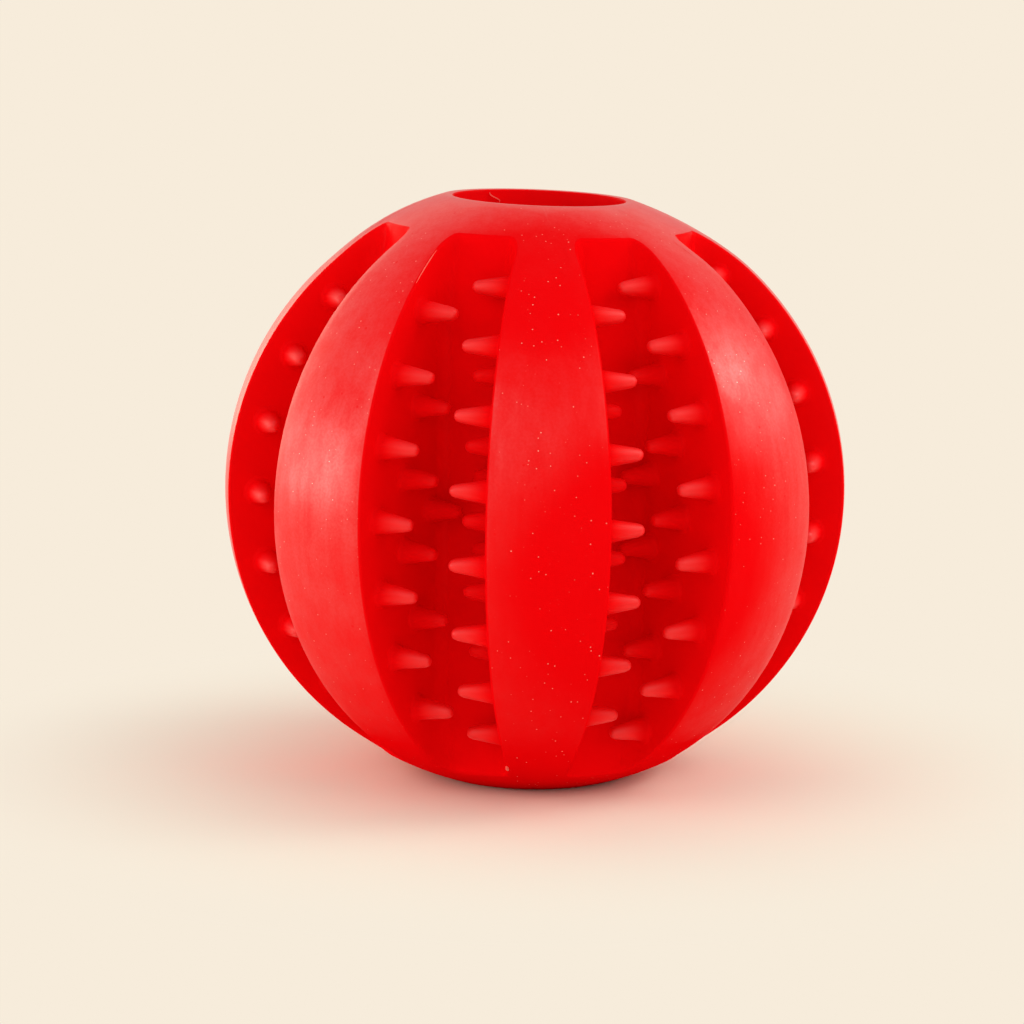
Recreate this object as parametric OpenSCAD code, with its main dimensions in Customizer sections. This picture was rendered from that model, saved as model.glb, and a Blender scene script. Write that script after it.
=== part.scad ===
// Treat dispensing ball, moulded in one piece from soft rubber.
// A hollow core runs up the middle from mouth to mouth. Eight ribs stand on it like
// melon slices, with a groove between each two, and rows of small teeth stand on the
// ribs' walls and reach into the grooves.
// Millimetres. The origin is the ball's centre, and Z runs through both mouths.

/* [Ball] */
// Diameter over the ribs at the equator
ball_d = 70; // [66:0.5:80]
// Rounding of the ribs' outer edges
rib_edge_r = 0.8; // [0.3:0.1:1.5]

/* [Grooves] */
// Width of a groove at its floor
groove_floor_w = 8.6; // [7.5:0.1:9.5]
// Angle between a groove's wall and its middle plane
groove_flare = 10; // [6:0.5:13]
// Diameter of the core, whose outside is the grooves' floor
core_d = 37.4; // [34:0.2:38.4]
// Rounding in the corners between a groove's floor and its walls
floor_fillet_r = 1.2; // [0.6:0.1:1.8]

/* [Mouths] */
// Height of a collar's dome, from the ribs' ends to the flat ring that the ball stands on
collar_h = 3.1; // [2.4:0.1:3.6]
// Diameter of the mouth at each end
mouth_d = 19.3; // [16:0.1:21]
// Rounding of a mouth's lip
lip_r = 0.4; // [0.2:0.1:0.8]
// Width of the flat ring around a mouth
land_w = 0.85; // [0.5:0.05:1.5]

/* [Treat chamber] */
// Diameter of the chamber behind the mouths
chamber_d = 26; // [22:0.5:28]
// Length of the chamber's straight wall
chamber_l = 30; // [20:1:34]

/* [Teeth] */
// Length of a tooth in the row by the rib's edge
tooth_l = 4.3; // [2.5:0.1:4.6]
// Length of a tooth in the deeper rows, where the groove is narrower
deep_tooth_l = 4; // [2.5:0.1:4.1]
// Diameter of a tooth where it leaves the wall
tooth_base_d = 2.8; // [2:0.1:3.2]
// Diameter of a tooth's round tip
tooth_tip_d = 1.3; // [0.8:0.1:1.6]
// Distance between neighbouring teeth along a row
tooth_pitch = 7.95; // [6:0.05:9]
// Distance from the ball's surface to the middle of the first row
first_row_inset = 3.4; // [2.8:0.1:4.5]
// Distance from one row to the next
row_step = 5.3; // [4:0.1:6]

/* [Hidden] */
$fn = 128;

rib_count = 8;
rows_per_wall = 3;
tooth_fn = 32;
full_turn = 360;
rib_pitch = full_turn / rib_count;
overrun = 1;

rubber_red = [0.93, 0.06, 0.07];
ball_r = ball_d / 2;
core_r = core_d / 2;
mouth_r = mouth_d / 2;
chamber_r = chamber_d / 2;
joint_z = chamber_l / 2;

// The ribs end on the ball's sphere where it meets the core, and from that edge each
// collar carries on as a flatter dome to the flat ring around its mouth.
rib_end_z = sqrt(pow(ball_r, 2) - pow(core_r, 2));
rest_z = rib_end_z + collar_h;
land_r = mouth_r + lip_r + land_w;
dome_drop = (pow(ball_r, 2) - pow(land_r, 2) - pow(rest_z, 2)) / (2 * (rest_z - rib_end_z));
dome_r = sqrt(pow(land_r, 2) + pow(rest_z + dome_drop, 2));

// A wall is a flat plane. It stands wall_turn away from its rib's middle plane and
// misses the ball's axis by wall_offset, on the groove's side.
wall_turn = rib_pitch / 2 - groove_flare;
floor_reach = sqrt(pow(core_r, 2) - pow(groove_floor_w / 2, 2));
wall_offset = (groove_floor_w / 2 - floor_reach * tan(groove_flare)) * cos(groove_flare);

// The rounding along a rib's edge is rolled between the wall and the sphere.
edge_reach = sqrt(pow(ball_r - rib_edge_r, 2) - pow(wall_offset + rib_edge_r, 2));

// The rounding in a groove's corner lies on the wall and, from outside, on the core. It
// dips into both, and its ends lie under the sphere, so that it ends on clean edges.
fillet_dip = 0.03;
fillet_rise = floor_fillet_r - fillet_dip;
fillet_reach = sqrt(pow(core_r + fillet_rise, 2) - pow(fillet_rise - wall_offset, 2));

// Rows run parallel to the rib's round edge. A row holds as many teeth as find room
// between the core's two ends of the wall. Half-stepped rows have a gap at the equator.
function row_r(row) = ball_r - first_row_inset - row * row_step;
function row_angle(row) = tooth_pitch / (2 * PI * row_r(row)) * full_turn;
row_floor_r = core_r + tooth_base_d / 2;
function row_room(row) = acos(min(1, row_floor_r / row_r(row))) / row_angle(row);
function row_teeth(row, half_step) =
    row_r(row) < row_floor_r ? 0
    : half_step ? 2 * floor(row_room(row) + 1 / 2)
    : 1 + 2 * floor(row_room(row));

// Profile of a tooth: a cone that runs smoothly into a round tip
module tooth_profile(length) {
    base_r = tooth_base_d / 2;
    tip_r = tooth_tip_d / 2;
    tip_y = length - tip_r;
    cone = acos(tip_r / norm([base_r, tip_y])) - atan2(tip_y, base_r);
    seam = [tip_r * cos(cone), tip_y + tip_r * sin(cone)];
    polygon([[0, 0], [base_r, 0], seam, [0, seam[1]]]);
    intersection() {
        translate([0, tip_y])
            circle(tip_r);
        translate([0, tip_y])
            square([tip_r + overrun, tip_r + overrun]);
    }
}

// One tooth standing on the plane Y = 0 and reaching along +Y
module tooth(length) {
    rotate([-90, 0, 0])
        rotate_extrude($fn = tooth_fn)
            tooth_profile(length);
}

// Row of teeth on a wall, in the wall's own frame
module tooth_row(row, half_step) {
    count = row_teeth(row, half_step);
    for (i = [0:1:count - 1]) {
        lift = (i - (count - 1) / 2) * row_angle(row);
        translate([row_r(row) * cos(lift), 0, row_r(row) * sin(lift)])
            tooth(row == 0 ? tooth_l : deep_tooth_l);
    }
}

// Moves a child from a wall's own frame to the rib's: X out along the wall, Y out of it
module on_right_wall() {
    rotate([0, 0, wall_turn])
        translate([0, -wall_offset, 0])
            children();
}

// All teeth of one wall. The first row of the left wall is half-stepped, and the rows
// behind it and across the groove alternate, so that the teeth interlock.
module wall_teeth(first_half_stepped) {
    color(rubber_red)
        difference() {
            on_right_wall()
                for (row = [0:1:rows_per_wall - 1])
                    tooth_row(row, (row % 2 == 0) == first_half_stepped);
            on_right_wall()
                floor_fillet();
            cylinder(r = core_r, h = ball_d, center = true);
        }
}

module right_teeth() {
    wall_teeth(false);
}

module left_teeth() {
    mirror([0, 1, 0])
        wall_teeth(true);
}

// Rubber in the corner between a wall and the floor, in the wall's own frame
module floor_fillet() {
    linear_extrude(height = ball_d, center = true)
        difference() {
            translate([core_r - floor_fillet_r, -floor_fillet_r])
                square([fillet_reach - core_r + floor_fillet_r, 2 * floor_fillet_r]);
            translate([fillet_reach, fillet_rise])
                circle(floor_fillet_r);
        }
}

// Profile that a turn about the wall's normal makes into the ball behind that wall,
// with its edge rounded. X is the distance from the normal, Y the depth behind the wall.
module behind_wall_profile() {
    outward = [edge_reach, wall_offset + rib_edge_r] / (ball_r - rib_edge_r);
    middle = [edge_reach, rib_edge_r];
    seam = middle + rib_edge_r * outward;
    difference() {
        intersection() {
            translate([0, -wall_offset])
                circle(ball_r);
            square([ball_r, ball_r]);
        }
        polygon([middle, seam, seam + [overrun, 0], [edge_reach + rib_edge_r + overrun, -overrun],
                 [edge_reach, -overrun]]);
    }
    translate(middle)
        circle(rib_edge_r);
}

// Half of a rib, from its middle plane to its right wall
module right_half_rib() {
    difference() {
        union() {
            on_right_wall()
                rotate([90, 0, 0])
                    rotate_extrude()
                        behind_wall_profile();
            intersection() {
                on_right_wall()
                    floor_fillet();
                sphere(ball_r - fillet_dip);
            }
        }
        translate([-ball_d, -2 * ball_d, -ball_d])
            cube(2 * ball_d);
        translate([-2 * ball_d, -ball_d, -ball_d])
            cube(2 * ball_d);
        cylinder(r = core_r, h = ball_d, center = true);
    }
}

module rib() {
    color(rubber_red) {
        right_half_rib();
        mirror([0, 1, 0])
            right_half_rib();
    }
}

// Places a child that lies along +X at the numbered rib. The grooves, not the ribs, lie
// on the X and Y axes.
module at_rib(number) {
    rotate([0, 0, (number - 1 / 2) * rib_pitch])
        children();
}

module core_sleeve() {
    color(rubber_red)
        difference() {
            cylinder(r = core_r, h = chamber_l, center = true);
            cylinder(r = chamber_r, h = chamber_l + overrun, center = true);
        }
}

module collar_profile() {
    lip = [mouth_r + lip_r, rest_z - lip_r];
    difference() {
        intersection() {
            translate([0, -dome_drop])
                circle(dome_r);
            translate([mouth_r, joint_z])
                square([core_r - mouth_r, rest_z - joint_z]);
        }
        translate([0, joint_z])
            circle(chamber_r);
        translate([mouth_r - overrun, lip[1]])
            square([lip_r + overrun, lip_r + overrun]);
    }
    translate(lip)
        circle(lip_r);
}

module top_collar() {
    color(rubber_red)
        rotate_extrude()
            collar_profile();
}

module bottom_collar() {
    mirror([0, 0, 1])
        top_collar();
}

core_sleeve();
top_collar();
bottom_collar();
at_rib(1) rib();  // rib_1
at_rib(2) rib();  // rib_2
at_rib(3) rib();  // rib_3
at_rib(4) rib();  // rib_4
at_rib(5) rib();  // rib_5
at_rib(6) rib();  // rib_6
at_rib(7) rib();  // rib_7
at_rib(8) rib();  // rib_8
at_rib(1) left_teeth();  // rib_1_left_teeth
at_rib(1) right_teeth();  // rib_1_right_teeth
at_rib(2) left_teeth();  // rib_2_left_teeth
at_rib(2) right_teeth();  // rib_2_right_teeth
at_rib(3) left_teeth();  // rib_3_left_teeth
at_rib(3) right_teeth();  // rib_3_right_teeth
at_rib(4) left_teeth();  // rib_4_left_teeth
at_rib(4) right_teeth();  // rib_4_right_teeth
at_rib(5) left_teeth();  // rib_5_left_teeth
at_rib(5) right_teeth();  // rib_5_right_teeth
at_rib(6) left_teeth();  // rib_6_left_teeth
at_rib(6) right_teeth();  // rib_6_right_teeth
at_rib(7) left_teeth();  // rib_7_left_teeth
at_rib(7) right_teeth();  // rib_7_right_teeth
at_rib(8) left_teeth();  // rib_8_left_teeth
at_rib(8) right_teeth();  // rib_8_right_teeth
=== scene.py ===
from math import acos, atan2, cos, hypot, pi, radians, sin, sqrt, tan

import bmesh
import bpy
from mathutils import Matrix, Vector


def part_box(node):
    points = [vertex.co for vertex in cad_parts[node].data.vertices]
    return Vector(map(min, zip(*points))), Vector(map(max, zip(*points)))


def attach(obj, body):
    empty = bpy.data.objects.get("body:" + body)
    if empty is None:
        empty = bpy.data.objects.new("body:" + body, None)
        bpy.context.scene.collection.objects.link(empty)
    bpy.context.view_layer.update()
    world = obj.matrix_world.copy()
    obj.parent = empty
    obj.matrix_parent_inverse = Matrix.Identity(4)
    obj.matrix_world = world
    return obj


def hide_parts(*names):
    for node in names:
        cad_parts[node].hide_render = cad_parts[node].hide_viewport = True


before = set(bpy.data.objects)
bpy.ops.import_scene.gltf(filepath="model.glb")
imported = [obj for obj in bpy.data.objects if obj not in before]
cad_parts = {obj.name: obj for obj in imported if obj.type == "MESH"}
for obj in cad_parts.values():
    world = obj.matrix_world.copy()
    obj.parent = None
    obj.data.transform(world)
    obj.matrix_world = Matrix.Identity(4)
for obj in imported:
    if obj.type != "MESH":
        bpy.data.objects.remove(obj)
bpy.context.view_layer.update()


# The moulded ball. The real one is a single compression moulding of soft red rubber: a
# hollow core with eight ribs on it, which run into a domed collar round each mouth. Its
# skin is made here as one groove with half a rib on each side, repeated round the axis.
mm = 0.001
rib_count = 8
half_pitch = radians(360 / rib_count / 2)
ball_r = max(v.co.xy.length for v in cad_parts["rib_1"].data.vertices)
core_r = max(v.co.xy.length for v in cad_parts["core_sleeve"].data.vertices)
chamber_r = min(v.co.xy.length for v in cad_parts["core_sleeve"].data.vertices)
chamber_end_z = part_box("core_sleeve")[1].z
mouth_r = min(v.co.xy.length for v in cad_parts["top_collar"].data.vertices)
rest_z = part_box("top_collar")[1].z
lip_r = 0.2 * mm
land_w = 0.85 * mm
land_r = mouth_r + lip_r + land_w

# The outside is a ball, slightly flattened towards the mouths.
ring_polar = atan2(land_r, rest_z)
flattening = (ball_r - hypot(land_r, rest_z)) / cos(ring_polar) ** 2


def smooth(share):
    """A smooth step from 0 to 1."""
    share = min(max(share, 0), 1)
    return share * share * (3 - 2 * share)


def on_skin(place):
    """Moves a place out from or in to the ball's centre until it lies on the outside."""
    out = place.normalized()
    return out * (ball_r - flattening * out.z ** 2)


def skin_above(x, y):
    """The height of the outside above a point of the ground plan, found in a few rounds."""
    z = sqrt(max(ball_r ** 2 - x * x - y * y, 0))
    for _ in range(6):
        z = sqrt(max(on_skin(Vector((x, y, z))).length_squared - x * x - y * y, 0))
    return z


# A groove in plan, with its middle on the X axis: a straight wall that leans outwards, a
# rounded corner, and the core as its floor. Its walls are upright, and so is its floor,
# apart from its two ends, where it leans in towards the axis.
groove_flare = radians(10)
groove_floor_w = 8.4 * mm
corner_r = 1.3 * mm
floor_reach = sqrt(core_r ** 2 - (groove_floor_w / 2) ** 2)
wall_offset = (groove_floor_w / 2 - floor_reach * tan(groove_flare)) * cos(groove_flare)
edge_reach = sqrt(ball_r ** 2 - wall_offset ** 2)
corner_reach = sqrt((core_r + corner_r) ** 2 - (corner_r - wall_offset) ** 2)
along_wall = Vector((cos(groove_flare), sin(groove_flare)))
into_groove = Vector((sin(groove_flare), -cos(groove_flare)))
corner_middle = along_wall * corner_reach + into_groove * (corner_r - wall_offset)
corner_start = atan2(-into_groove.y, -into_groove.x)
corner_turn = atan2(-corner_middle.y, -corner_middle.x) + 2 * pi - corner_start
corner_l = corner_r * corner_turn
floor_half_l = core_r * atan2(corner_middle.y, corner_middle.x)
half_l = corner_l + floor_half_l
end_lean = 1.25 * mm
lean_start_z, lean_end_z = 18 * mm, 29.5 * mm


def groove_plan(across):
    """The point of the ground plan at a distance from the groove's middle, measured along
    its floor, corner and wall.
    """
    left = half_l - abs(across)
    if left < 0:
        point = along_wall * (corner_reach - left) - into_groove * wall_offset
    elif left < corner_l:
        turned = corner_start + left / corner_r
        point = corner_middle + corner_r * Vector((cos(turned), sin(turned)))
    else:
        point = core_r * Vector((cos(abs(across) / core_r), sin(abs(across) / core_r)))
    return Vector((point.x, point.y if across > 0 else -point.y))


def floor_lean(across, z):
    """How far a groove's floor has come in towards the axis, near the groove's ends."""
    on_floor = smooth((half_l - abs(across)) / corner_l)
    return end_lean * on_floor * smooth((abs(z) - lean_start_z) / (lean_end_z - lean_start_z))


def groove_place(across, z):
    """The place of a point of the groove's surface, from its place on the flat."""
    x, y = groove_plan(across)
    return Vector((x - floor_lean(across, z), y, z))


def groove_top(across):
    """The height at which the groove's surface comes out through the outside."""
    top_z = 0
    for _ in range(8):
        place = groove_place(across, top_z)
        top_z = skin_above(place.x, place.y)
    return top_z


def whole_loop(quarter):
    """A loop round the groove, from the quarter that runs from the equator to its middle."""
    upper = quarter + [Vector((p.x, -p.y, p.z)) for p in reversed(quarter[:-1])]
    return upper + [Vector((p.x, p.y, -p.z)) for p in reversed(upper[1:-1])]


def grow(bm, loop, places):
    """Extrudes a closed loop of vertices to new places and gives the new loop."""
    edges = [bm.edges.get(pair) for pair in zip(loop, loop[1:] + loop[:1])]
    made = set(bmesh.ops.extrude_edge_only(bm, edges=edges)["geom"])
    grown = [next(e.other_vert(v) for e in v.link_edges if e.other_vert(v) in made)
             for v in loop]
    for vert, place in zip(grown, places):
        vert.co = place
    return grown


# The groove's edge, flat: X is the distance along floor and wall, Y the height.
wall_steps, corner_steps, floor_steps = 30, 6, 5
wall_rise = acos(corner_reach / edge_reach)
stops = [half_l + edge_reach * cos(wall_rise * i / wall_steps) - corner_reach
         for i in range(wall_steps + 1)]
stops += [half_l - corner_l * i / corner_steps for i in range(1, corner_steps + 1)]
stops += [floor_half_l * (1 - i / floor_steps) for i in range(1, floor_steps + 1)]
edge_flat = [Vector((across, groove_top(across))) for across in stops]

# The groove's surface is cut flat, gets a border of even width, and is then bent.
edge_border = 1.2 * mm
wall_cuts = [half_l + step * mm for step in (0.3, 1.2, 4, 7, 10)]
level_cuts, level_h = 8, 3.2 * mm
bm = bmesh.new()
edge_loop = [bm.verts.new(p) for p in whole_loop([Vector((0, p.x, p.y)) for p in edge_flat])]
bm.faces.new(edge_loop)
bm.normal_update()
bmesh.ops.inset_individual(bm, faces=bm.faces, thickness=edge_border,
                           use_even_offset=True)
cuts = [half_l - corner_l * i / corner_steps for i in range(corner_steps + 1)]
cuts += [floor_half_l * i / floor_steps for i in range(floor_steps)]
cuts += wall_cuts
planes = [(Vector((0, side * c, 0)), Vector((0, 1, 0))) for c in cuts for side in (-1, 1)]
planes += [(Vector((0, 0, level * level_h)), Vector((0, 0, 1)))
           for level in range(-level_cuts, level_cuts + 1)]
kept_edge = set(edge_loop)
for place, across in planes:
    middle = [f for f in bm.faces if kept_edge.isdisjoint(f.verts)]
    middle_edges = list({e for f in middle for e in f.edges})
    middle_verts = list({v for f in middle for v in f.verts})
    bmesh.ops.bisect_plane(bm, geom=middle + middle_edges + middle_verts,
                           plane_co=place, plane_no=across)
for vert in bm.verts:
    vert.co = groove_place(vert.co.y, vert.co.z)

# The outside: from the groove's edge to the middle of the ribs and to the mouths' rings.
edge_3d = [v.co.copy() for v in edge_loop]
near = []
for before, here, after in zip(edge_3d[-1:] + edge_3d[:-1], edge_3d, edge_3d[1:] + edge_3d[:1]):
    outward = (after - before).cross(here).normalized()
    near.append(on_skin(here + outward * edge_border))
fan_from = 0.5
border = []
for i in range(len(edge_flat)):
    share = min(i / wall_steps, 1)
    fanned = (max(share - fan_from, 0) / (1 - fan_from)) ** 2
    rise = wall_rise * share + (pi / 2 - ring_polar - wall_rise) * fanned
    turn = half_pitch * min((len(edge_flat) - 1 - i) / (corner_steps + floor_steps), 1)
    border.append(on_skin(Vector((cos(rise) * cos(turn), cos(rise) * sin(turn), sin(rise)))))
border = whole_loop(border)
loop = grow(bm, edge_loop, near)
rings = 5
for k in range(1, rings + 1):
    loop = grow(bm, loop, [on_skin(a.normalized().lerp(b.normalized(), k / rings))
                           for a, b in zip(near, border)])

# The edges round the groove are rounded, and the sector is turned to make the ball.
edge_r = 0.3 * mm
weld = 0.002 * mm
rim = [bm.edges.get(pair) for pair in zip(edge_loop, edge_loop[1:] + edge_loop[:1])]
bmesh.ops.bevel(bm, geom=rim, offset=edge_r, offset_type="OFFSET", affect="EDGES",
                segments=4, profile=0.5, clamp_overlap=False, material=-1)
bmesh.ops.spin(bm, geom=bm.verts[:] + bm.edges[:] + bm.faces[:], cent=(0, 0, 0),
               axis=(0, 0, 1), angle=2 * half_pitch * (rib_count - 1),
               steps=rib_count - 1, use_duplicate=True)
bmesh.ops.remove_doubles(bm, verts=bm.verts, dist=weld)

# From the top ring the skin runs over the lip, down the neck, along the chamber and out
# at the bottom.
top = sorted({v for e in bm.edges if e.is_boundary for v in e.verts if v.co.z > 0},
             key=lambda v: atan2(v.co.y, v.co.x))
lip_steps, dome_steps = 5, 6
neck_z = chamber_end_z + sqrt(chamber_r ** 2 - mouth_r ** 2)
half_profile = [(mouth_r + lip_r, rest_z)]
for i in range(1, lip_steps + 1):
    turn = pi / 2 / lip_steps * i
    half_profile.append((mouth_r + lip_r * (1 - sin(turn)), rest_z - lip_r * (1 - cos(turn))))
half_profile += [(mouth_r, (rest_z + neck_z) / 2), (mouth_r, neck_z)]
dome_rise = atan2(neck_z - chamber_end_z, mouth_r)
for i in range(1, dome_steps + 1):
    rise = dome_rise * (1 - i / dome_steps)
    half_profile.append((chamber_r * cos(rise), chamber_end_z + chamber_r * sin(rise)))
half_profile += [(chamber_r, chamber_end_z / 2)]
profile = half_profile + [(chamber_r, 0)] + [(r, -z) for r, z in reversed(half_profile)]
profile.append((land_r, -rest_z))
loop = top
turns = [atan2(v.co.y, v.co.x) for v in top]
for r, z in profile:
    loop = grow(bm, loop, [Vector((r * cos(a), r * sin(a), z)) for a in turns])
bmesh.ops.remove_doubles(bm, verts=bm.verts, dist=weld)

# The outside is marked, so that its finish ends at the grooves' and the mouths' edges.
outside = bm.verts.layers.float.new("outside")
skin_depth = 0.06 * edge_r
ring_depth = 0.01 * mm
for vert in bm.verts:
    depth = on_skin(vert.co).length - vert.co.length
    on_ring = abs(vert.co.z) >= rest_z - ring_depth
    vert[outside] = 1 if on_ring else smooth(1 - depth / skin_depth)

# The upper mouth of this ball leans two degrees. Lean is its slope along X and Y.
lean = Vector((-0.033, 0.012))
lean_from = 25 * mm
for vert in bm.verts:
    share = smooth((vert.co.z - lean_from) / (rest_z - lean_from))
    vert.co.z += share * lean.dot(vert.co.xy)


def new_piece(bm, name, rounded=True):
    """A piece of the scene from its finished bmesh, with its faces turned outwards."""
    bmesh.ops.recalc_face_normals(bm, faces=bm.faces)
    for face in bm.faces:
        face.smooth = rounded
    mesh = bpy.data.meshes.new(name)
    bm.to_mesh(mesh)
    bm.free()
    piece = bpy.data.objects.new(name, mesh)
    bpy.context.scene.collection.objects.link(piece)
    return piece


ball = new_piece(bm, "moulded_ball")
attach(ball, "root")
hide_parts("core_sleeve", "top_collar", "bottom_collar",
            *[f"rib_{n}" for n in range(1, rib_count + 1)])


def red_rubber(name, tone=(0.86, 0.0012, 0.003, 1)):
    """The rubber's material, with its nodes and links."""
    rubber = bpy.data.materials.new(name)
    rubber.use_nodes = True
    shader = rubber.node_tree.nodes["Principled BSDF"]
    shader.inputs["Base Color"].default_value = tone
    shader.inputs["Roughness"].default_value = 0.33
    shader.inputs["Specular IOR Level"].default_value = 0.25
    return rubber, rubber.node_tree.nodes, rubber.node_tree.links


def ramp(nodes, links, source, span, levels):
    """A smooth step of a value from one level to another."""
    step = nodes.new("ShaderNodeMapRange")
    step.interpolation_type = "SMOOTHSTEP"
    step.inputs["From Min"].default_value = span[0]
    step.inputs["From Max"].default_value = span[1]
    step.inputs["To Min"].default_value = levels[0]
    step.inputs["To Max"].default_value = levels[1]
    links.new(source, step.inputs["Value"])
    return step.outputs["Result"]


def product(nodes, links, *factors):
    """The product of some values."""
    so_far = factors[0]
    for factor in factors[1:]:
        times = nodes.new("ShaderNodeMath")
        times.operation = "MULTIPLY"
        links.new(so_far, times.inputs[0])
        links.new(factor, times.inputs[1])
        so_far = times.outputs[0]
    return so_far


def scaled(nodes, links, place, shares):
    """A place with each of its axes scaled, to stretch a pattern or to leave an axis out."""
    times = nodes.new("ShaderNodeVectorMath")
    times.operation = "MULTIPLY"
    times.inputs[1].default_value = shares
    links.new(place, times.inputs[0])
    return times.outputs[0]


def from_point(nodes, links, place, point):
    """The distance of a place from a point."""
    away = nodes.new("ShaderNodeVectorMath")
    away.operation = "DISTANCE"
    away.inputs[1].default_value = point
    links.new(place, away.inputs[0])
    return away.outputs["Value"]


def dots(nodes, links, place, apart, size):
    """Small round dots, one in each cell of a random pattern, and a value for each dot."""
    cells = nodes.new("ShaderNodeTexVoronoi")
    cells.inputs["Scale"].default_value = 1 / apart
    links.new(place, cells.inputs["Vector"])
    span = (size / apart / 2, size / apart)
    dot = ramp(nodes, links, cells.outputs["Distance"], span, levels=(1, 0))
    return dot, cells.outputs["Color"]


def patches(nodes, links, place, size, detail, levels):
    """Cloudy patches of about the given size, from one level to another."""
    usual_noise = (0.3, 0.7)
    clouds = nodes.new("ShaderNodeTexNoise")
    clouds.inputs["Scale"].default_value = 1 / size
    clouds.inputs["Detail"].default_value = detail
    links.new(place, clouds.inputs["Vector"])
    return ramp(nodes, links, clouds.outputs["Fac"], usual_noise, levels)


# The outer skin is a little dull from handling. It takes a broad haze of light, uneven
# and faintly streaked along the ribs. The rib in front is wiped cleaner, the collar above
# it is rubbed, and the grooves, the neck and the underside stay deep red.
ball_rubber, nodes, links = red_rubber("red_rubber")
place = nodes.new("ShaderNodeTexCoord").outputs["Object"]
skin = nodes.new("ShaderNodeAttribute")
skin.attribute_name = "outside"
height = scaled(nodes, links, place, (0, 0, 1))
along_ribs = scaled(nodes, links, place, (1, 1, 0.1))
from_low = from_point(nodes, links, height, (0, 0, -2 * ball_r))
wiped_place = (0.62 * ball_r, -0.72 * ball_r, -0.15 * ball_r)
from_wiped = from_point(nodes, links, place, wiped_place)
rubbed_place = (0.25 * ball_r, -0.6 * ball_r, 0.75 * ball_r)
from_rubbed = from_point(nodes, links, place, rubbed_place)
dull = ramp(nodes, links, skin.outputs["Fac"], span=(0, 1), levels=(0.01, 0.62))
low = ramp(nodes, links, from_low, span=(1.25 * ball_r, 2.1 * ball_r), levels=(0, 1))
wiped = ramp(nodes, links, from_wiped, span=(0.35 * ball_r, 0.75 * ball_r), levels=(0.015, 1))
rubbed = ramp(nodes, links, from_rubbed, span=(0.2 * ball_r, 0.64 * ball_r), levels=(0.04, 1))
cloudy = patches(nodes, links, place, size=5 * mm, detail=6, levels=(0.72, 1.2))
streaky = patches(nodes, links, along_ribs, size=1.1 * mm, detail=3, levels=(0.78, 1.18))
mottled = patches(nodes, links, place, size=0.3 * mm, detail=2, levels=(0.82, 1.15))
pit, _ = dots(nodes, links, place, apart=2.2 * mm, size=0.2 * mm)
pitted = ramp(nodes, links, pit, span=(0, 1), levels=(1, 0.45))
haze = product(nodes, links, dull, low, wiped, rubbed, cloudy, streaky, mottled, pitted)
shader = nodes["Principled BSDF"]
links.new(haze, shader.inputs["Specular IOR Level"])

# Specks of dust lie on the skin, each with a brightness of its own.
speck, speck_tone = dots(nodes, links, place, apart=0.7 * mm, size=0.09 * mm)
tone_parts = nodes.new("ShaderNodeSeparateColor")
links.new(speck_tone, tone_parts.inputs[0])
bright = ramp(nodes, links, tone_parts.outputs["Red"], span=(0.35, 1), levels=(0.02, 0.65))
dust = product(nodes, links, speck, bright, skin.outputs["Fac"])
dusty = nodes.new("ShaderNodeMix")
dusty.data_type = "RGBA"
dusty.inputs["A"].default_value = shader.inputs["Base Color"].default_value
dusty.inputs["B"].default_value = (0.95, 0.5, 0.4, 1)
links.new(dust, dusty.inputs["Factor"])
links.new(dusty.outputs["Result"], shader.inputs["Base Color"])
ball.data.materials.append(ball_rubber)


# The teeth. The real ones are soft cones with round tips, moulded with the ribs' walls in
# rows that run parallel to the ribs' edges. Each wall's rows are one group.
first_row_inset = 3.4 * mm
row_step = 5.3 * mm
tooth_pitch = 7.95 * mm
tooth_base_r, tooth_tip_r = 1.4 * mm, 0.65 * mm
tooth_sides = 10
foot_sink = 0.02 * mm
left_counts, right_counts = (8, 5, 2), (7, 4, 1)
tooth_lengths = (4.5 * mm, 4.1 * mm, 4.1 * mm)
row_shines = (1, 0.35, 0.15)

# A foot's points are given as the way out from the base's radius and the height, a tip's
# as the way out from the tip's radius and the way down from the tooth's end.
foot_points = ((0.5 * mm, 0), (0.22 * mm, 0.04 * mm), (0.02 * mm, 0.2 * mm), (-0.12 * mm, 0.6 * mm))
tip_points = ((0.09 * mm, 0.65 * mm), (-0.09 * mm, 0.22 * mm), (-0.38 * mm, 0.02 * mm))


def rubber_tooth(bm, length, place, shine):
    """One tooth, grown ring by ring from its flared foot to its round tip."""
    reach = bm.verts.layers.float["reach"]
    profile = [(tooth_base_r + out, h) for out, h in foot_points]
    profile += [(tooth_tip_r + out, length - down) for out, down in tip_points]
    base = bmesh.ops.create_circle(bm, segments=tooth_sides, radius=profile[0][0])["verts"]
    everything = list(base)
    loop = base
    for r, h in profile[1:]:
        loop = grow(bm, loop, [v.co.normalized() * r + Vector((0, 0, h)) for v in base])
        for vert in loop:
            vert[reach] = shine * h / length
        everything += loop
    bmesh.ops.contextual_create(bm, geom=loop)
    bmesh.ops.contextual_create(bm, geom=base)
    for pair in zip(base, base[1:] + base[:1]):
        bm.edges.get(pair).smooth = False
    sunk = place @ Matrix.Translation((0, 0, -foot_sink))
    bmesh.ops.transform(bm, matrix=sunk, verts=everything)


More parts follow.
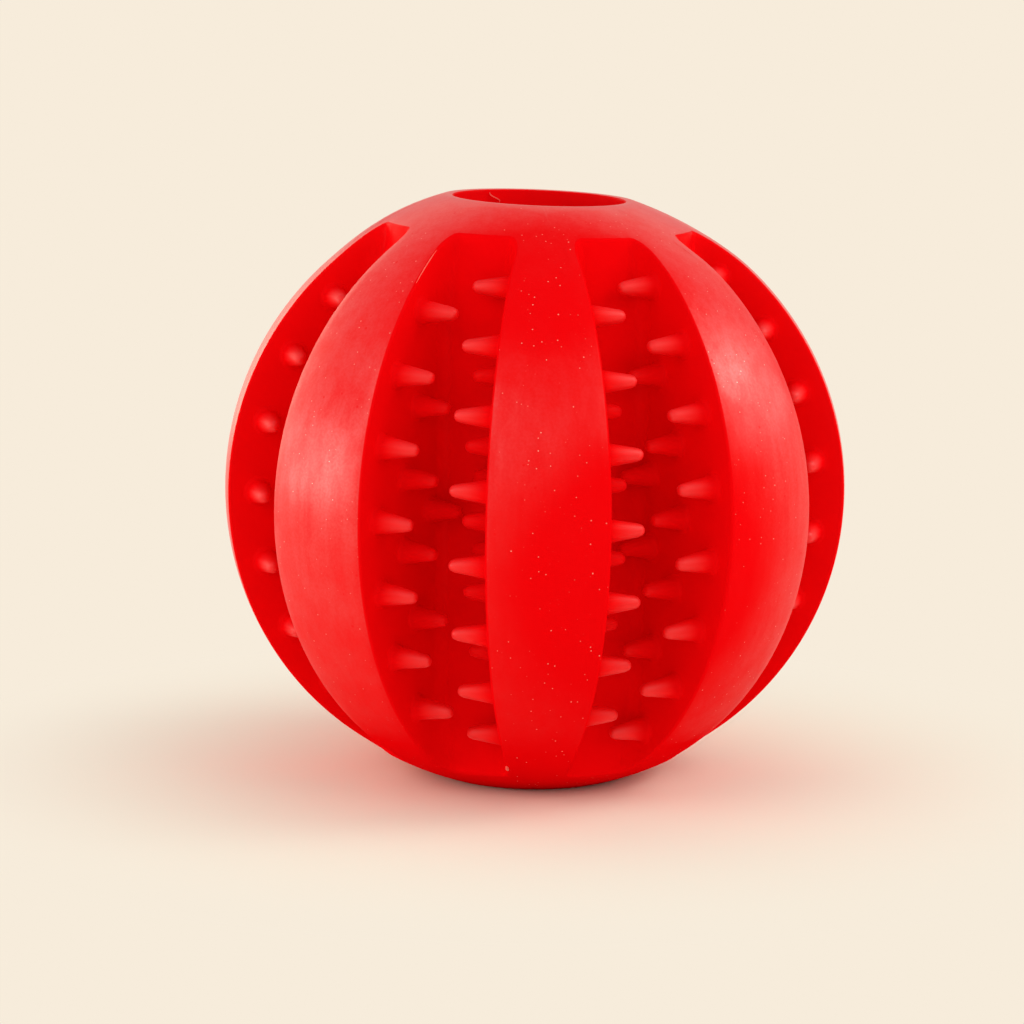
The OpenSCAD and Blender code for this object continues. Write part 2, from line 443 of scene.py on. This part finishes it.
# The tips catch the light as the skin does and let some through, most of all in the outer
# rows. The feet stay as dark as the walls.
teeth_rubber, nodes, links = red_rubber("red_rubber_teeth")
reach = nodes.new("ShaderNodeAttribute")
reach.attribute_name = "reach"
shader = nodes["Principled BSDF"]
shader.inputs["Roughness"].default_value = 0.5
shader.inputs["Subsurface Radius"].default_value = (1, 0.2, 0.15)
shader.inputs["Subsurface Scale"].default_value = 1.5 * mm
haze = ramp(nodes, links, reach.outputs["Fac"], span=(0.1, 0.95), levels=(0.01, 0.5))
links.new(haze, shader.inputs["Specular IOR Level"])
through = ramp(nodes, links, reach.outputs["Fac"], span=(0.05, 0.3), levels=(0, 0.6))
links.new(through, shader.inputs["Subsurface Weight"])
wall_turn = half_pitch - groove_flare
for number in range(1, rib_count + 1):
    for side, counts in (("left", left_counts), ("right", right_counts)):
        bm = bmesh.new()
        bm.verts.layers.float.new("reach")
        mirror = 1 if side == "right" else -1
        for row, count in enumerate(counts):
            row_r = ball_r - first_row_inset - row * row_step
            for i in range(count):
                lift = (i - (count - 1) / 2) * tooth_pitch / row_r
                place = (Matrix.Rotation(2 * half_pitch * (number - 0.5), 4, "Z")
                         @ Matrix.Scale(mirror, 4, (0, 1, 0))
                         @ Matrix.Rotation(wall_turn, 4, "Z")
                         @ Matrix.Translation((row_r * cos(lift), -wall_offset, row_r * sin(lift)))
                         @ Matrix.Rotation(-pi / 2, 4, "X"))
                rubber_tooth(bm, tooth_lengths[row], place, row_shines[row])
        rows = new_piece(bm, f"rib_{number}_{side}_tooth_rows")
        rows.data.materials.append(teeth_rubber)
        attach(rows, "root")
        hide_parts(f"rib_{number}_{side}_teeth")


# Threads of flash. The mould's joint left a thin line on one rib's edge, a curl in the
# upper mouth and a crumb at the foot of a rib. Each is still fast to the ball.
# The threads' rubber is a paler, pinker red than the ball's. This is a painted highlight for the
# light that catches their thin edges, and it also lifts the crumb out of the shade low on the ball.
flash_rubber_painted_highlight, _, _ = red_rubber("red_rubber_flash_painted_highlight", (0.92, 0.13, 0.1, 1))
thread_sides = 6
thread_end_share = 0.35


def flash_thread(name, path, thick):
    """A thread of rubber along a path, thinner towards both ends."""
    bm = bmesh.new()
    loop = bmesh.ops.create_circle(bm, segments=thread_sides, radius=1, cap_ends=True)["verts"]
    ring = [v.co.copy() for v in loop]
    for k, here in enumerate(path):
        ahead = path[min(k + 1, len(path) - 1)] - path[max(k - 1, 0)]
        swell = sin(pi * k / (len(path) - 1))
        radius = thick / 2 * (thread_end_share + (1 - thread_end_share) * swell)
        places = [here + ahead.to_track_quat("Z", "Y") @ (v * radius) for v in ring]
        if k == 0:
            for vert, spot in zip(loop, places):
                vert.co = spot
        else:
            loop = grow(bm, loop, places)
    bmesh.ops.contextual_create(bm, geom=loop)
    thread = new_piece(bm, name, rounded=False)
    thread.data.materials.append(flash_rubber_painted_highlight)
    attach(thread, "root")


def on_edge(groove_turn, side, across):
    """A place on a groove's upper edge. Side is -1 on the groove's left, 1 on its right."""
    edge = groove_place(across, groove_top(across))
    edge.y *= side
    return Matrix.Rotation(groove_turn, 3, "Z") @ edge


left_groove = radians(-90)
line_from, line_to, line_steps = half_l + 0.2 * mm, half_l + 4.2 * mm, 12
line = [on_edge(left_groove, -1, line_from + (line_to - line_from) * i / line_steps)
        for i in range(line_steps + 1)]
flash_thread("edge_flash", line, thick=0.11 * mm)
curl_from, curl_turn, curl_wave = radians(146), 0.13, 0.03
curl_drop, curl_gap, curl_bow = 1.25 * mm, 0.03 * mm, 0.25 * mm
curl_steps = 10
curl = []
for i in range(curl_steps + 1):
    share = i / curl_steps
    curl_r = mouth_r - curl_gap - curl_bow * sin(pi * share)
    turn = curl_from - curl_turn * share + curl_wave * sin(2 * pi * share)
    curl.append(Vector((curl_r * cos(turn), curl_r * sin(turn), rest_z - curl_drop * share)))
flash_thread("mouth_flash", curl, thick=0.14 * mm)
crumb_step, crumb_half_steps = 0.14 * mm, 3
crumb = [on_edge(left_groove, 1, half_l + i * crumb_step)
         for i in range(-crumb_half_steps, crumb_half_steps + 1)]
flash_thread("foot_flash", [Vector((p.x, p.y, -p.z)) for p in crumb], thick=0.42 * mm)


# The floor and backdrop: cream paper, level under the ball and sloping up far away from
# it. It takes the ball's shadow, and further out it fades into one even colour.
floor_r, floor_sides = 20, 96
backdrop_spread, backdrop_h = 1.2, 4
floor_mesh = bpy.data.meshes.new("studio_floor")
bm = bmesh.new()
rim = bmesh.ops.create_circle(bm, cap_ends=True, segments=floor_sides, radius=floor_r)["verts"]
grow(bm, rim, [v.co * backdrop_spread + Vector((0, 0, backdrop_h)) for v in rim])
bmesh.ops.translate(bm, verts=bm.verts, vec=(0, 0, -rest_z))
bm.to_mesh(floor_mesh)
bm.free()
floor = bpy.data.objects.new("studio_floor", floor_mesh)
bpy.context.scene.collection.objects.link(floor)
fade_from, fade_to = 42 * mm, 80 * mm
paper = bpy.data.materials.new("cream_paper")
paper.use_nodes = True
nodes, links = paper.node_tree.nodes, paper.node_tree.links
nodes.clear()
output = nodes.new("ShaderNodeOutputMaterial")
diffuse = nodes.new("ShaderNodeBsdfDiffuse")
diffuse.inputs["Color"].default_value = (0.93, 0.91, 0.81, 1)
glow = nodes.new("ShaderNodeEmission")
glow.inputs["Color"].default_value = (0.93, 0.838, 0.708, 1)
place = nodes.new("ShaderNodeTexCoord")
away = nodes.new("ShaderNodeVectorMath")
away.operation = "LENGTH"
links.new(place.outputs["Object"], away.inputs[0])
fade = ramp(nodes, links, away.outputs["Value"], span=(fade_from, fade_to), levels=(0, 1))
path = nodes.new("ShaderNodeLightPath")
seen = path.outputs["Is Camera Ray"]
for kind in ("Is Glossy Ray", "Is Transmission Ray"):
    either = nodes.new("ShaderNodeMath")
    either.operation = "MAXIMUM"
    links.new(seen, either.inputs[0])
    links.new(path.outputs[kind], either.inputs[1])
    seen = either.outputs[0]
mix = nodes.new("ShaderNodeMixShader")
links.new(product(nodes, links, seen, fade), mix.inputs["Fac"])
links.new(diffuse.outputs[0], mix.inputs[1])
links.new(glow.outputs[0], mix.inputs[2])
links.new(mix.outputs[0], output.inputs["Surface"])
floor_mesh.materials.append(paper)


# The camera. It stands where the photo was taken from, turned to the right of the ball's
# front, a little above its middle and slightly tilted. The ball's middle is at ball_px.
camera_turn = radians(20)
camera_rise = radians(8.63)
camera_roll = radians(0.9)
camera_away = 0.39
lens_px = 3437
frame_px = 1024
film_w = 36
ball_px = (534.7, 486.2)
flat_sight = Vector((sin(camera_turn), -cos(camera_turn), 0))
sight = cos(camera_rise) * flat_sight + Vector((0, 0, sin(camera_rise)))
right = Vector((cos(camera_turn), sin(camera_turn), 0))
up = sight.cross(right)
image_x = cos(camera_roll) * right + sin(camera_roll) * up
image_y = cos(camera_roll) * up - sin(camera_roll) * right
camera = bpy.data.objects.new("camera", bpy.data.cameras.new("camera"))
camera.data.sensor_width = film_w
camera.data.lens = lens_px / frame_px * film_w
bpy.context.scene.collection.objects.link(camera)
aside = (ball_px[0] - frame_px / 2) * camera_away / lens_px
above = (frame_px / 2 - ball_px[1]) * camera_away / lens_px
aim = -(image_x * aside + image_y * above)
camera.location = sight * camera_away
back = (camera.location - aim).normalized()
side = (image_x - back * image_x.dot(back)).normalized()
camera.rotation_euler = Matrix((side, back.cross(side), back)).transposed().to_euler()
bpy.context.scene.camera = camera


# The light. Soft daylight comes from the front, low from the left and from higher up on
# the right, and warmer light comes from behind. A dim pale world fills the shade.
daylight, warm = (1, 0.96, 0.85), (1, 0.93, 0.7)
world = bpy.data.worlds.new("studio")
bpy.context.scene.world = world
world.use_nodes = True
sky = world.node_tree.nodes["Background"]
sky.inputs["Color"].default_value = (1, 0.98, 0.95, 1)
sky.inputs["Strength"].default_value = 0.52


def softbox(name, colour, turn, rise, away, size, power):
    """A soft lamp that faces the ball, turned to the camera's right and raised by degrees.
    Its distance, width and height are in metres, and its power is in watts.
    """
    ahead = cos(radians(turn)) * flat_sight + sin(radians(turn)) * right
    place = away * (cos(radians(rise)) * ahead + Vector((0, 0, sin(radians(rise)))))
    lamp = bpy.data.lights.new(name, "AREA")
    lamp.shape = "RECTANGLE"
    lamp.size, lamp.size_y = size
    lamp.energy = power
    lamp.color = colour
    obj = bpy.data.objects.new(name, lamp)
    obj.location = place
    obj.rotation_euler = (-place).to_track_quat("-Z", "Y").to_euler()
    bpy.context.scene.collection.objects.link(obj)


softbox("left_softbox", daylight, turn=-85, rise=6, away=0.5, size=(0.3, 0.12), power=0.6)
softbox("left_back_softbox", warm, turn=-132, rise=14, away=0.5, size=(0.4, 0.3), power=0.7)
softbox("right_softbox", daylight, turn=97, rise=26, away=0.5, size=(0.2, 0.2), power=0.53)
softbox("right_high_softbox", daylight, turn=80, rise=42, away=0.5, size=(0.2, 0.2), power=0.37)
softbox("back_softbox", warm, turn=180, rise=35, away=0.6, size=(0.9, 0.25), power=0.25)
softbox("front_left_softbox", daylight, turn=-48, rise=28, away=0.6, size=(0.35, 0.35), power=0.66)
softbox("front_right_softbox", daylight, turn=48, rise=30, away=0.6, size=(0.35, 0.35), power=0.6)
softbox("front_softbox", daylight, turn=0, rise=15, away=0.6, size=(0.35, 0.35), power=0.36)
bpy.context.scene.view_settings.view_transform = "Standard"
